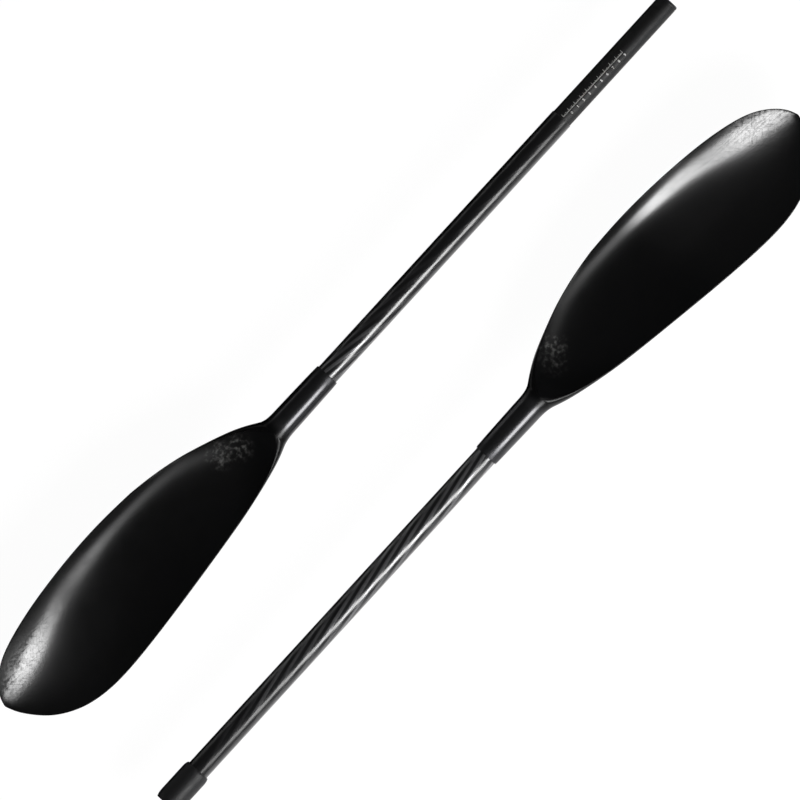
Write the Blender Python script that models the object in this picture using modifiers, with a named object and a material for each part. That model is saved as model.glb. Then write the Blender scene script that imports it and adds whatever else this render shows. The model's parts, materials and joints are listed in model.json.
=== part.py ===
"""Two-piece adjustable wing kayak paddle, its two halves laid side by side on a floor.

Metres, +Z up. +X runs along the shafts and +Y points to the blades' leading edges. The left half ends
in a ferrule insert with a length scale, the right half in a socket with a twist lock, and the two
blades are mirror images. Each half is modelled about its own shaft line, with x = 0 at the neck,
where its blade begins, and its joint end at positive x. The right half is the same with x mirrored.
"""

import math
from types import SimpleNamespace

import bmesh
import bpy
from mathutils import Matrix, Vector

MM = 0.001

# Gaps: between pieces that are bonded or touch, and round the insert where it slides
BOND_GAP = 0.3 * MM
RUNNING_GAP = 0.1 * MM

# Shafts: tube size, the lengths that show, and how far each tube sits in its blade's neck
SHAFT_RADIUS = 14.0 * MM
SHAFT_WALL = 0.8 * MM
TUBE_EDGE = 0.3 * MM
LEFT_SHAFT_SHOWN = 416.8 * MM
RIGHT_SHAFT_SHOWN = 511.6 * MM
SOCKET_GRIP = 80.0 * MM

# Ferrule insert of the left half
INSERT_SHOWN = 191.4 * MM
INSERT_BONDED = 90.0 * MM
INSERT_WALL = 1.0 * MM
CAP_FLANGE = 4.0 * MM
CAP_SPIGOT = 12.0 * MM
CAP_CHAMFER = 1.2 * MM
CAP_LEAD_IN = 1.5 * MM
CAP_DISH = 0.8 * MM

# Twist lock of the right half
COLLAR_LENGTH = 55.8 * MM
COLLAR_WALL = 0.9 * MM
COLLAR_REAR_ROUND = 9.0 * MM
COLLAR_MOUTH_ROUND = 12.0 * MM
COLLAR_MOUTH_WALL = 1.2 * MM
COLLAR_REAR_WALL = 0.6 * MM
COLLAR_REAR_LIP = 5.0 * MM
COLLAR_MOUTH_LIP = 2.0 * MM
INSERT_ENTRY_GAP = 0.4 * MM
COLLET_LENGTH = 14.0 * MM
COLLET_BASE = 4.0 * MM
COLLET_MOUTH_WALL = 0.9 * MM
COLLET_BASE_WALL = 1.9 * MM
COLLET_SLOT = 1.6 * MM
COLLET_SLOTS = 6
SLEEVE_ROOT_WALL = 0.9 * MM
THREAD_DEPTH = 0.9 * MM
THREAD_PITCH = 4.0 * MM
SEAL_RADIUS = 0.9 * MM

# Foam bungs that keep water out of the tubes
BUNG_LENGTH = 20.0 * MM
BUNG_CHAMFER = 1.5 * MM
BUNG_CLEARANCE = 4.0 * MM

# Blade neck: a socket moulded in one with the back shell
NECK_LENGTH = 92.0 * MM
NECK_MOUTH_WALL = 1.9 * MM
NECK_ROOT_WALL = 3.0 * MM
NECK_FLARE_START = 24.0 * MM
NECK_MOUTH_EDGE = 0.7 * MM

# Blade outline seen from the power face: how far its sides reach from the shaft line, how far the
# tip lies towards the leading edge, and each side from the neck to near the tip, as (percent of the
# blade's length, percent of the way from the neck's side to the full reach)
BLADE_LENGTH = 463.0 * MM
LEADING_REACH = 78.0 * MM
TRAILING_REACH = 70.5 * MM
TIP_OFFSET = 8.0 * MM
LEADING_EDGE = (
    (-2.2, 0.3), (0.0, 2.6), (1.7, 9.7), (3.9, 20.4), (7.8, 35.9), (15.6, 58.6), (23.3, 77.6),
    (31.1, 90.4), (38.9, 96.9), (50.5, 100.0), (62.2, 96.4), (73.9, 87.6), (81.6, 77.9),
    (89.4, 62.6), (93.7, 47.0), (97.2, 25.0), (99.1, 5.3),
)
TRAILING_EDGE = (
    (-2.2, 0.4), (0.0, 2.6), (1.7, 7.3), (3.9, 14.5), (7.8, 24.6), (15.6, 40.0), (23.3, 52.4),
    (38.9, 70.7), (54.4, 87.2), (66.1, 97.0), (73.9, 100.0), (79.0, 97.6), (83.6, 90.2),
    (87.9, 76.7), (93.3, 46.1), (96.5, 13.5), (98.9, -19.4),
)

# Blade form. The keel is the lowest line along the blade, and each side rises from it to its edge.
# Each line runs from the neck to the tip by percent of the blade's length. The heights are percents
# of that length too: the keel's above the neck's underside, and the sides' above the keel.
KEEL_LINE = (
    (0.0, 0.0), (10.0, 0.05), (24.0, -0.15), (39.0, -1.15), (54.0, -2.2), (69.0, -1.7),
    (84.0, -1.15), (100.0, -0.1),
)
LEADING_LINE = (
    (0.0, 2.6), (24.0, 3.0), (39.0, 4.1), (54.0, 4.65), (69.0, 5.0), (84.0, 6.5), (100.0, 7.2),
)
TRAILING_LINE = ((0.0, 0.0), (12.0, 0.5), (30.0, 2.2), (50.0, 2.8), (69.0, 2.2), (84.0, 1.8), (100.0, 1.5))
# Where the keel runs, as a share of the way from the leading edge, and how sharply the leading side
# turns up to its edge, as a power
KEEL_SHARES = ((0.0, 0.5), (13.0, 0.5), (41.0, 0.47), (69.0, 0.65), (100.0, 0.74))
LEADING_CURLS = ((0.0, 2.0), (13.0, 2.4), (41.0, 5.0), (69.0, 3.8), (85.0, 2.3), (100.0, 1.4))
FACE_START = 3.5 * MM
FACE_OPENING = 18.0 * MM
EDGE_RIM = 1.0 * MM
EDGE_THICKNESS = 2.1 * MM
SKIN = 0.9 * MM
WALL_FADE = 25.0 * MM
SECTION_BLEND = 150.0 * MM
TRAILING_CURL = 1.8
TIP_FALL = 0.8
TIP_THINNING = 1.6
CORE_AT_MIDDLE = 6.0 * MM
CORE_AT_NECK = 7.0 * MM
CORE_TAPER = 90.0 * MM
DISH_LENGTH = 26.0 * MM
LIP_NARROWNESS = 4
CORE_START = 20.0 * MM
CORE_TIP_MARGIN = 45.0 * MM
CORE_GAP = 0.5 * MM
CORE_EDGE_SHARE = 0.06

# How the halves lie: each rolled a little about its shaft, with its blade swept a little off it
LEFT_ROLL = math.radians(3.5)
RIGHT_ROLL = math.radians(-2.0)
LEFT_SWEEP = math.radians(0.95)
RIGHT_SWEEP = math.radians(-0.95)
SHAFT_SPACING = 206.0 * MM
NECK_OFFSET = 240.7 * MM

# Fineness
TURN_STEPS = 40
HIDDEN_STEPS = 24
ROUND_STEPS = 6
SEAL_SIDES = 8
CURVE_SAMPLES = 24
FLARE_ROWS = 5
ROOT_ROWS = 12
ROOT_REACH = 110.0 * MM
TIP_ROWS = 18
TIP_CROWDING = 1.7
RIM_COLUMNS = 5
COLUMNS = 12
SHARP_ANGLE = math.radians(40)
WELD_DISTANCE = 0.001 * MM

# Sizes that follow from the ones above
COLUMN_SHARES = [(1 - math.cos(math.pi * j / COLUMNS)) / 2 for j in range(COLUMNS + 1)]
BORE_RADIUS = SHAFT_RADIUS - SHAFT_WALL
INSERT_RADIUS = BORE_RADIUS - RUNNING_GAP
INSERT_BORE = INSERT_RADIUS - INSERT_WALL
SOCKET_RADIUS = SHAFT_RADIUS + BOND_GAP
NECK_MOUTH_RADIUS = SOCKET_RADIUS + NECK_MOUTH_WALL
NECK_ROOT_RADIUS = SOCKET_RADIUS + NECK_ROOT_WALL
SHAFT_START = NECK_LENGTH - SOCKET_GRIP
LEFT_SHAFT_END = NECK_LENGTH + LEFT_SHAFT_SHOWN
INSERT_START = LEFT_SHAFT_END - INSERT_BONDED
INSERT_END = LEFT_SHAFT_END + INSERT_SHOWN
COLLAR_REAR = NECK_LENGTH + RIGHT_SHAFT_SHOWN
COLLAR_MOUTH = COLLAR_REAR + COLLAR_LENGTH
COLLET_MOUTH = COLLAR_MOUTH - COLLAR_MOUTH_LIP - BOND_GAP
COLLET_REAR = COLLET_MOUTH - COLLET_LENGTH
RIGHT_SHAFT_END = COLLET_REAR - BOND_GAP
SEAL_PLACE = COLLAR_REAR + COLLAR_REAR_LIP + BOND_GAP + SEAL_RADIUS
SLEEVE_REAR = SEAL_PLACE + SEAL_RADIUS + BOND_GAP
SLEEVE_LENGTH = RIGHT_SHAFT_END - SLEEVE_REAR
SLEEVE_ROOT = SOCKET_RADIUS + SLEEVE_ROOT_WALL
THREAD_CREST = SLEEVE_ROOT + THREAD_DEPTH
THREAD_TURNS = int(SLEEVE_LENGTH / THREAD_PITCH - 1)
COLLAR_BORE = THREAD_CREST + BOND_GAP
COLLAR_RADIUS = COLLAR_BORE + COLLAR_WALL
ENTRY_RADIUS = INSERT_RADIUS + INSERT_ENTRY_GAP
BUNG_FRONT = COLLAR_MOUTH - INSERT_SHOWN - BUNG_CLEARANCE


# Finishes: colour, roughness and metallic value
FINISHES = {
    "gloss_carbon": ((0.012, 0.012, 0.013), 0.18, 0.0),
    "matt_carbon": ((0.06, 0.06, 0.063), 0.5, 0.0),
    "black_plastic": ((0.018, 0.018, 0.018), 0.45, 0.0),
    "white_plastic": ((0.7, 0.7, 0.68), 0.4, 0.0),
    "rubber": ((0.02, 0.02, 0.02), 0.8, 0.0),
    "foam": ((0.75, 0.7, 0.6), 0.9, 0.0),
}


def clear_scene():
    for obj in list(bpy.data.objects):
        bpy.data.objects.remove(obj, do_unlink=True)


def new_collection(name):
    collection = bpy.data.collections.new(name)
    bpy.context.scene.collection.children.link(collection)
    return collection


def new_piece(name, mesh, half, finish):
    """An object of the half's collection, on its empty, with a material of its own."""
    obj = bpy.data.objects.new(name, mesh)
    half.collection.objects.link(obj)
    obj.parent = half.empty
    color, roughness, metallic = FINISHES[finish]
    material = bpy.data.materials.new(f"{name} {finish}")
    material.use_nodes = True
    shader = material.node_tree.nodes["Principled BSDF"]
    shader.inputs["Base Color"].default_value = (*color, 1.0)
    shader.inputs["Roughness"].default_value = roughness
    shader.inputs["Metallic"].default_value = metallic
    obj.data.materials.append(material)
    return obj


# Turned pieces


def turned(name, half, x, profile, finish, steps=TURN_STEPS, closed=True):
    """A piece turned about the shaft line.

    The profile is (distance along the line from x, radius) and runs along its outer side from the
    joint end towards the blade, then back along the bore. An open profile ends on the axis.
    """
    mesh = bpy.data.meshes.new(name)
    points = [(radius, 0.0, along) for along, radius in profile]
    edges = [(i, i + 1) for i in range(len(points) - 1)]
    if closed:
        edges.append((len(points) - 1, 0))
    mesh.from_pydata(points, edges, [])
    obj = new_piece(name, mesh, half, finish)
    obj.location = (half.side * x, 0.0, 0.0)
    obj.rotation_euler = (0.0, half.side * math.pi / 2, 0.0)
    screw = obj.modifiers.new("Turn", "SCREW")
    screw.steps = steps
    screw.render_steps = steps
    screw.use_merge_vertices = True
    screw.merge_threshold = WELD_DISTANCE
    screw.use_smooth_shade = True
    return obj


def tube_profile(length, outer, bore):
    """A plain tube from 0 to length, its outer corners broken."""
    return [
        (length - TUBE_EDGE, outer),
        (TUBE_EDGE, outer),
        (0.0, outer - TUBE_EDGE),
        (0.0, bore),
        (length, bore),
        (length, outer - TUBE_EDGE),
    ]


def rounded_end(start, end, radius, drop):
    """(distance, radius) along a quarter ellipse that falls by drop from start to end."""
    turns = [math.pi / 2 * i / ROUND_STEPS for i in range(ROUND_STEPS + 1)]
    return [(start + (end - start) * math.sin(a), radius - drop * (1 - math.cos(a))) for a in turns]


def make_shaft(half, name, end):
    profile = tube_profile(end - SHAFT_START, SHAFT_RADIUS, BORE_RADIUS)
    turned(name, half, SHAFT_START, profile, "gloss_carbon")


def make_bung(half, name, x, bore):
    """A foam bung for a bore, chamfered at both ends so that it pushes in."""
    radius = bore - BOND_GAP
    profile = [
        (BUNG_LENGTH, 0.0),
        (BUNG_LENGTH, radius - BUNG_CHAMFER),
        (BUNG_LENGTH - BUNG_CHAMFER, radius),
        (BUNG_CHAMFER, radius),
        (0.0, radius - BUNG_CHAMFER),
        (0.0, 0.0),
    ]
    turned(name, half, x, profile, "foam", HIDDEN_STEPS, closed=False)


def make_insert(half):
    """The male ferrule tube, bonded in the shaft, and the cap in its open end."""
    tube_end = INSERT_END - CAP_FLANGE - BOND_GAP
    profile = tube_profile(tube_end - INSERT_START, INSERT_RADIUS, INSERT_BORE)
    turned("ferrule_insert", half, INSERT_START, profile, "matt_carbon")
    spigot = INSERT_BORE - BOND_GAP
    cap = [
        (CAP_FLANGE, 0.0),
        (CAP_FLANGE, INSERT_RADIUS - CAP_CHAMFER),
        (CAP_FLANGE - CAP_CHAMFER, INSERT_RADIUS),
        (0.0, INSERT_RADIUS),
        (0.0, spigot),
        (CAP_LEAD_IN - CAP_SPIGOT, spigot),
        (-CAP_SPIGOT, spigot - CAP_LEAD_IN),
        (-CAP_SPIGOT, spigot / 2),
        (-CAP_DISH, spigot / 2 - CAP_DISH),
        (-CAP_DISH, 0.0),
    ]
    x = INSERT_END - CAP_FLANGE
    turned("insert_end_cap", half, x, cap, "black_plastic", closed=False)


def make_threaded_sleeve(half):
    """The sleeve on the shaft's end that the lock collar screws along, its thread as plain rings."""
    profile = [(SLEEVE_LENGTH, SLEEVE_ROOT)]
    margin = (SLEEVE_LENGTH - THREAD_PITCH * THREAD_TURNS) / 2
    for turn in range(THREAD_TURNS):
        top = SLEEVE_LENGTH - margin - THREAD_PITCH * turn
        for quarter, radius in enumerate((SLEEVE_ROOT, THREAD_CREST, THREAD_CREST, SLEEVE_ROOT)):
            profile.append((top - THREAD_PITCH * quarter / 4, radius))
    profile += [(0.0, SLEEVE_ROOT), (0.0, SOCKET_RADIUS), (SLEEVE_LENGTH, SOCKET_RADIUS)]
    turned("threaded_sleeve", half, SLEEVE_REAR, profile, "black_plastic", HIDDEN_STEPS)


def cone_radius(along_from_mouth, gap):
    """Radius of the collet's taper, or of the collar's taper round it with gap, from its mouth end."""
    share = min(1.0, max(0.0, along_from_mouth / (COLLET_LENGTH - COLLET_BASE)))
    wall = COLLET_MOUTH_WALL + (COLLET_BASE_WALL - COLLET_MOUTH_WALL) * share
    return BORE_RADIUS + wall + gap


def make_collet(half):
    """The split ring that the collar's taper squeezes onto the insert."""
    profile = [
        (COLLET_LENGTH, cone_radius(0.0, 0.0)),
        (COLLET_BASE, cone_radius(COLLET_LENGTH - COLLET_BASE, 0.0)),
        (0.0, cone_radius(COLLET_LENGTH, 0.0)),
        (0.0, BORE_RADIUS),
        (COLLET_LENGTH, BORE_RADIUS),
    ]
    collet = turned("split_collet", half, COLLET_REAR, profile, "white_plastic")
    slot_length = COLLET_LENGTH - COLLET_BASE
    slot_size = (2 * COLLAR_RADIUS, COLLET_SLOT, 2 * slot_length, 1.0)
    for index in range(COLLET_SLOTS // 2):
        mesh = bpy.data.meshes.new("collet_slot")
        bm = bmesh.new()
        bmesh.ops.create_cube(bm, size=1.0, matrix=Matrix.Diagonal(slot_size))
        bm.to_mesh(mesh)
        bm.free()
        cutter = bpy.data.objects.new(f"collet_slot_cutter_{index}", mesh)
        half.cutters.objects.link(cutter)
        cutter.parent = collet
        cutter.location = (0.0, 0.0, COLLET_BASE + slot_length)
        cutter.rotation_euler = (0.0, 0.0, 2 * math.pi * index / COLLET_SLOTS)
        cutter.hide_render = True
        cutter.display_type = "WIRE"
        cut = collet.modifiers.new(f"Slot {index}", "BOOLEAN")
        cut.operation = "DIFFERENCE"
        cut.solver = "EXACT"
        cut.object = cutter


def make_seal(half):
    """The rubber ring between the sleeve and the collar's rear lip."""
    middle = SOCKET_RADIUS + SEAL_RADIUS
    turns = [2 * math.pi * i / SEAL_SIDES for i in range(SEAL_SIDES)]
    profile = [(SEAL_RADIUS * math.cos(a), middle + SEAL_RADIUS * math.sin(a)) for a in turns]
    turned("collar_seal", half, SEAL_PLACE, profile, "rubber", HIDDEN_STEPS)


def make_collar(half):
    """The lock collar: threaded over the sleeve, tapered over the collet, open for the insert."""
    rear_drop = COLLAR_RADIUS - SOCKET_RADIUS - COLLAR_REAR_WALL
    mouth_drop = COLLAR_RADIUS - ENTRY_RADIUS - COLLAR_MOUTH_WALL
    mouth = rounded_end(COLLAR_LENGTH - COLLAR_MOUTH_ROUND, COLLAR_LENGTH, COLLAR_RADIUS, mouth_drop)
    rear = rounded_end(COLLAR_REAR_ROUND, 0.0, COLLAR_RADIUS, rear_drop)
    taper_end = COLLAR_LENGTH - COLLAR_MOUTH_LIP
    taper_start = taper_end - BOND_GAP - (COLLET_LENGTH - COLLET_BASE)
    profile = mouth[::-1] + rear
    profile += [
        (0.0, SOCKET_RADIUS),
        (COLLAR_REAR_LIP, SOCKET_RADIUS),
        (COLLAR_REAR_LIP, COLLAR_BORE),
        (taper_start - COLLET_BASE - BOND_GAP, COLLAR_BORE),
        (taper_start, cone_radius(COLLET_LENGTH, BOND_GAP)),
        (taper_end, cone_radius(-BOND_GAP, BOND_GAP)),
        (taper_end, ENTRY_RADIUS),
        (COLLAR_LENGTH, ENTRY_RADIUS),
    ]
    turned("lock_collar", half, COLLAR_REAR, profile, "black_plastic")


# Blades


def outline_points(edge, reach, side):
    """The points of one side of the outline, from the neck's straight part to the blade's tip."""
    points = [Vector((-NECK_FLARE_START, side * NECK_ROOT_RADIUS))]
    for length_percent, reach_percent in edge:
        across = NECK_ROOT_RADIUS + (reach - NECK_ROOT_RADIUS) * reach_percent / 100
        points.append(Vector((BLADE_LENGTH * length_percent / 100, side * across)))
    return points + [Vector((BLADE_LENGTH, TIP_OFFSET))]


def smooth_curve(points):
    """Points of a smooth curve through the given ones."""
    knots = [0.0]
    for a, b in zip(points, points[1:]):
        knots.append(knots[-1] + (b - a).length)
    slopes = []
    for i in range(len(points)):
        before = max(i - 1, 0)
        after = min(i + 1, len(points) - 1)
        slopes.append((points[after] - points[before]) / (knots[after] - knots[before]))
    curve = []
    for i in range(len(points) - 1):
        span = knots[i + 1] - knots[i]
        for step in range(CURVE_SAMPLES):
            t = step / CURVE_SAMPLES
            ends = points[i] * (2 * t**3 - 3 * t**2 + 1) + points[i + 1] * (3 * t**2 - 2 * t**3)
            pull = slopes[i] * (t**3 - 2 * t**2 + t) + slopes[i + 1] * (t**3 - t**2)
            curve.append(ends + pull * span)
    curve.append(points[-1])
    return curve


def curve_length(curve):
    return sum((b - a).length for a, b in zip(curve, curve[1:]))


def length_to(curve, u):
    """How far along the curve its distance from the neck reaches u."""
    passed = 0.0
    for a, b in zip(curve, curve[1:]):
        if b.x >= u:
            return passed + (b - a).length * (u - a.x) / (b.x - a.x)
        passed += (b - a).length
    return passed


def walk(curve, distance):
    """The point at a distance along the curve, and the direction across the curve there."""
    for a, b in zip(curve, curve[1:]):
        step = (b - a).length
        if distance <= step or b is curve[-1]:
            direction = (b - a) / step
            return a + direction * min(distance, step), Vector((-direction.y, direction.x))
        distance -= step


def line_value(line, u):
    """The value that a line of the blade's form has at a distance from the neck."""
    percent = 100 * max(0.0, u) / BLADE_LENGTH
    for a, b in zip(line, line[1:]):
        if b.x >= percent:
            return a.y + (b.y - a.y) * (percent - a.x) / (b.x - a.x)
    return line[-1].y


def smoothstep(x):
    x = min(1.0, max(0.0, x))
    return x * x * (3 - 2 * x)


def share_between(ends, spot):
    """Share of the way from the first end to the second at which the spot lies."""
    line = ends[1] - ends[0]
    if line.length < MM:
        return 0.5
    return min(1.0, max(0.0, (spot - ends[0]).dot(line) / line.length_squared))


class Section:
    """A cross-section of the neck or blade, between a point of each edge seen from above.

    outward holds each edge's outward direction. The section turns from the neck's round one into
    the blade's own as merge goes from 0 to 1.
    """

    keel_line, leading_line, trailing_line, keel_shares, leading_curls = (
        smooth_curve([Vector(point) for point in line])
        for line in (KEEL_LINE, LEADING_LINE, TRAILING_LINE, KEEL_SHARES, LEADING_CURLS)
    )

    def __init__(self, edges, outward, radius=NECK_ROOT_RADIUS, width_share=1.0):
        self.edges = edges
        self.outward = outward
        self.radius = radius
        self.u = (edges[0].x + edges[1].x) / 2
        past = round(max(0.0, self.u - FACE_START), 6)
        self.merge = smoothstep(self.u / SECTION_BLEND)
        self.keel_share = line_value(self.keel_shares, self.u)
        self.leading_curl = line_value(self.leading_curls, self.u)
        percent = BLADE_LENGTH / 100
        self.back_keel = line_value(self.keel_line, self.u) * percent - NECK_ROOT_RADIUS
        core = EDGE_THICKNESS + (CORE_AT_MIDDLE - EDGE_THICKNESS) * width_share**TIP_THINNING
        core += CORE_AT_NECK * math.exp(-past / CORE_TAPER)
        self.face_keel = self.back_keel + core
        percent *= width_share**TIP_FALL
        middle = self.back_keel + EDGE_THICKNESS / 2
        self.side_heights = [
            middle + line_value(line, self.u) * percent
            for line in (self.leading_line, self.trailing_line)
        ]
        self.edge_heights = [height * self.merge for height in self.side_heights]
        self.dish = math.exp(-((past / DISH_LENGTH) ** 1.5))
        self.lip = math.exp(-past / (2 * FACE_OPENING))
        opening = math.sqrt(1 - self.lip**2)
        thick = math.exp(-past / WALL_FADE)
        self.side_wall = EDGE_RIM + (NECK_ROOT_WALL - EDGE_RIM) * thick
        if self.u < 0:
            self.side_wall = self.radius - SOCKET_RADIUS
        self.top_wall = EDGE_RIM / 2 + (self.side_wall - EDGE_RIM / 2) * thick
        self.mouth = [
            Vector((edge.x, edge.y * opening)) - out * EDGE_RIM * opening
            for edge, out in zip(edges, outward)
        ]

    def sides(self, inner):
        """The ends of the back, seen from above, outside or inside the wall."""
        wall = self.side_wall if inner else 0.0
        return [edge - out * wall for edge, out in zip(self.edges, self.outward)]

    def curved(self, share, keel, sides, offset):
        """Height of a blade surface: the keel's height, rising to the side's height plus offset."""
        if share < self.keel_share:
            climb = ((self.keel_share - share) / self.keel_share) ** self.leading_curl
            return keel + (sides[0] + offset - keel) * climb
        climb = ((share - self.keel_share) / (1 - self.keel_share)) ** TRAILING_CURL
        return keel + (sides[1] + offset - keel) * climb

    def back_height(self, spot, inner):
        """Height of the back, outside or inside its wall."""
        radius = SOCKET_RADIUS if inner else self.radius
        across = share_between(self.sides(inner), spot)
        round_back = -radius * math.sqrt(max(0.0, 1 - (2 * across - 1) ** 2))
        share = share_between(self.edges, spot)
        flat_back = self.curved(share, self.back_keel, self.side_heights, -EDGE_THICKNESS / 2)
        if inner:
            flat_back += SKIN
        return round_back + (flat_back - round_back) * self.merge

    def face_height(self, spot):
        """Height of the face, which starts at the neck's top and dips to the blade's hollow."""
        share = share_between(self.edges, spot)
        base = self.curved(share, self.face_keel, self.edge_heights, EDGE_THICKNESS / 2)
        to_rim = abs(2 * share_between(self.mouth, spot) - 1) ** LIP_NARROWNESS
        lift = self.dish + (self.lip - self.dish) * to_rim
        return base + (self.radius - base) * lift

    def ring(self, inner):
        """Points from the leading rim of the face, round the back, to the trailing rim."""
        sides = self.sides(inner)
        back = []
        for ring_share in COLUMN_SHARES:
            spot = sides[0].lerp(sides[1], ring_share)
            back.append(spot.to_3d())
            back[-1].z = self.back_height(spot, inner)
        if not inner:
            back[0].z, back[-1].z = self.edge_heights
        rims = []
        for mouth, side in zip(self.mouth, (back[0], back[-1])):
            top = self.face_height(mouth) - (self.top_wall if inner else 0.0)
            rim = []
            for j in range(RIM_COLUMNS):
                turn = math.pi / 2 * j / RIM_COLUMNS
                spot = mouth.lerp(side.to_2d(), math.sin(turn)).to_3d()
                spot.z = side.z + (top - side.z) * math.cos(turn)
                rim.append(spot)
            rims.append(rim)
        return rims[0] + back + rims[1][::-1]

    def lay(self, height, shares):
        """Points across the face's mouth, a gap inside it, at the heights of a function."""
        ends = [spot - out * BOND_GAP for spot, out in zip(self.mouth, self.mouth_outward)]
        points = []
        for share in shares:
            spot = ends[0].lerp(ends[1], share)
            points.append(spot.to_3d())
            points[-1].z = height(self, spot)
        return points


def edge_distances(curve):
    """Distances along an edge of the blade at which its sections lie, from the face's start on."""
    first = length_to(curve, FACE_START)
    rows = [first + ROOT_REACH * (i / ROOT_ROWS) ** 2 for i in range(ROOT_ROWS + 1)]
    rest = curve_length(curve) - rows[-1]
    return rows + [
        rows[-1] + rest * (1 - (1 - i / TIP_ROWS) ** TIP_CROWDING) for i in range(1, TIP_ROWS + 1)
    ]


def blade_sections():
    """The sections of the neck, closed round the shaft, and those of the blade, open at its face."""
    neck = []
    straight = (
        (NECK_LENGTH, NECK_MOUTH_RADIUS - NECK_MOUTH_EDGE),
        (NECK_LENGTH - NECK_MOUTH_EDGE, NECK_MOUTH_RADIUS),
    )
    sideways = (Vector((0.0, 1.0)), Vector((0.0, -1.0)))
    for x, radius in straight:
        neck.append(Section((Vector((-x, radius)), Vector((-x, -radius))), sideways, radius))
    curves = (
        smooth_curve(outline_points(LEADING_EDGE, LEADING_REACH, 1)),
        smooth_curve(outline_points(TRAILING_EDGE, TRAILING_REACH, -1)),
    )
    for i in range(FLARE_ROWS):
        u = (FACE_START + NECK_FLARE_START) * i / FLARE_ROWS - NECK_FLARE_START
        edges = [walk(curve, length_to(curve, u))[0] for curve in curves]
        neck.append(Section(edges, sideways))
    rows = []
    for leading, trailing in zip(edge_distances(curves[0]), edge_distances(curves[1])):
        across = [walk(curves[0], leading), walk(curves[1], trailing)]
        edges = [point for point, _ in across]
        outward = [across[0][1], -across[1][1]]
        if (edges[0] - edges[1]).length < MM / 10:
            outward = [Vector((1.0, 0.0))] * 2
        rows.append((edges, outward))
    widths = [(edges[0] - edges[1]).length for edges, _ in rows]
    widest = max(widths)
    blade = []
    for i, (edges, outward) in enumerate(rows):
        past_widest = i > widths.index(widest)
        width_share = widths[i] / widest if past_widest else 1.0
        blade.append(Section(edges, outward, width_share=width_share))
    set_mouth_directions(blade)
    return neck, blade


def set_mouth_directions(blade):
    """Gives each section the outward directions of the face's mouth, across its rim."""
    for i, section in enumerate(blade):
        before = blade[max(i - 1, 0)].mouth
        after = blade[min(i + 1, len(blade) - 1)].mouth
        runs = [end - start for start, end in zip(before, after)]
        across = [Vector((-run.y, run.x)).normalized() for run in runs]
        section.mouth_outward = [across[0], -across[1]]
    blade[0].mouth_outward = [Vector((-1.0, 0.0))] * 2
    blade[-1].mouth_outward = [Vector((1.0, 0.0))] * 2


def placed(half, point):
    """A blade point in the half's own frame, with the blade swept off the shaft line."""
    return Vector((-half.side * point.x, point.y + math.tan(half.sweep) * max(0.0, point.x), point.z))


def loft(bm, half, rings):
    """Quads between neighbouring rings of points. Returns the rings' vertices."""
    rows = [[bm.verts.new(placed(half, point)) for point in ring] for ring in rings]
    for row, after in zip(rows, rows[1:]):
        for j in range(len(row) - 1):
            bm.faces.new((row[j], row[j + 1], after[j + 1], after[j]))
    return rows


def bridge(bm, first, second):
    """Quads between two rows of vertices."""
    for j in range(len(first) - 1):
        bm.faces.new((first[j], first[j + 1], second[j + 1], second[j]))


def closed_piece(bm, name, half, finish):
    """Joins the points that meet, turns the faces outwards and makes the piece."""
    bmesh.ops.remove_doubles(bm, verts=bm.verts, dist=WELD_DISTANCE)
    bmesh.ops.recalc_face_normals(bm, faces=bm.faces)
    mesh = bpy.data.meshes.new(name)
    bm.to_mesh(mesh)
    bm.free()
    mesh.shade_smooth()
    mesh.set_sharp_from_angle(angle=SHARP_ANGLE)
    return new_piece(name, mesh, half, finish)


def make_back_shell(half, name):
    """The back, the rim and the neck's socket, moulded in one and open where the face goes."""
    sections = half.neck + half.blade
    bm = bmesh.new()
    outer = loft(bm, half, [section.ring(inner=False) for section in sections])
    inner = loft(bm, half, [section.ring(inner=True) for section in sections])
    bridge(bm, outer[0], inner[0])
    opening = slice(len(half.neck), None)
    for column in (0, -1):
        bridge(bm, [ring[column] for ring in outer[opening]], [ring[column] for ring in inner[opening]])
    return closed_piece(bm, name, half, "gloss_carbon")


def make_plate(half, name, finish, tops, bottoms):
    """A closed piece between two grids of points of the same size."""
    bm = bmesh.new()
    upper = loft(bm, half, tops)
    lower = loft(bm, half, bottoms)
    for row in (0, -1):
        bridge(bm, upper[row], lower[row])
    for column in (0, -1):
        bridge(bm, [row[column] for row in upper], [row[column] for row in lower])
    return closed_piece(bm, name, half, finish)


def make_face_skin(half, name):
    top = [section.lay(Section.face_height, COLUMN_SHARES) for section in half.blade]
    under = [[point - Vector((0.0, 0.0, SKIN)) for point in row] for row in top]
    make_plate(half, name, "gloss_carbon", top, under)


def core_top(section, spot):
    return section.face_height(spot) - SKIN - BOND_GAP


def core_bottom(section, spot):
    """The foam's underside, on the inside of the shell's back."""
    return section.back_height(spot, inner=True) + CORE_GAP


def make_foam_core(half, name):
    last = BLADE_LENGTH - CORE_TIP_MARGIN
    rows = [section for section in half.blade if CORE_START < section.u < last]
    shares = [share for share in COLUMN_SHARES if CORE_EDGE_SHARE < share < 1 - CORE_EDGE_SHARE]
    top = [section.lay(core_top, shares) for section in rows]
    under = [section.lay(core_bottom, shares) for section in rows]
    make_plate(half, name, "foam", top, under)


# The two halves


def new_half(name, side, roll, sweep, collections, sections):
    """What one half's pieces hang on: side is +1 where its joint end points to +X."""
    empty = bpy.data.objects.new(name, None)
    collection, cutters = collections
    collection.objects.link(empty)
    neck, blade = sections
    return SimpleNamespace(
        empty=empty,
        side=side,
        roll=roll,
        sweep=sweep,
        collection=collection,
        cutters=cutters,
        neck=neck,
        blade=blade,
    )


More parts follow.
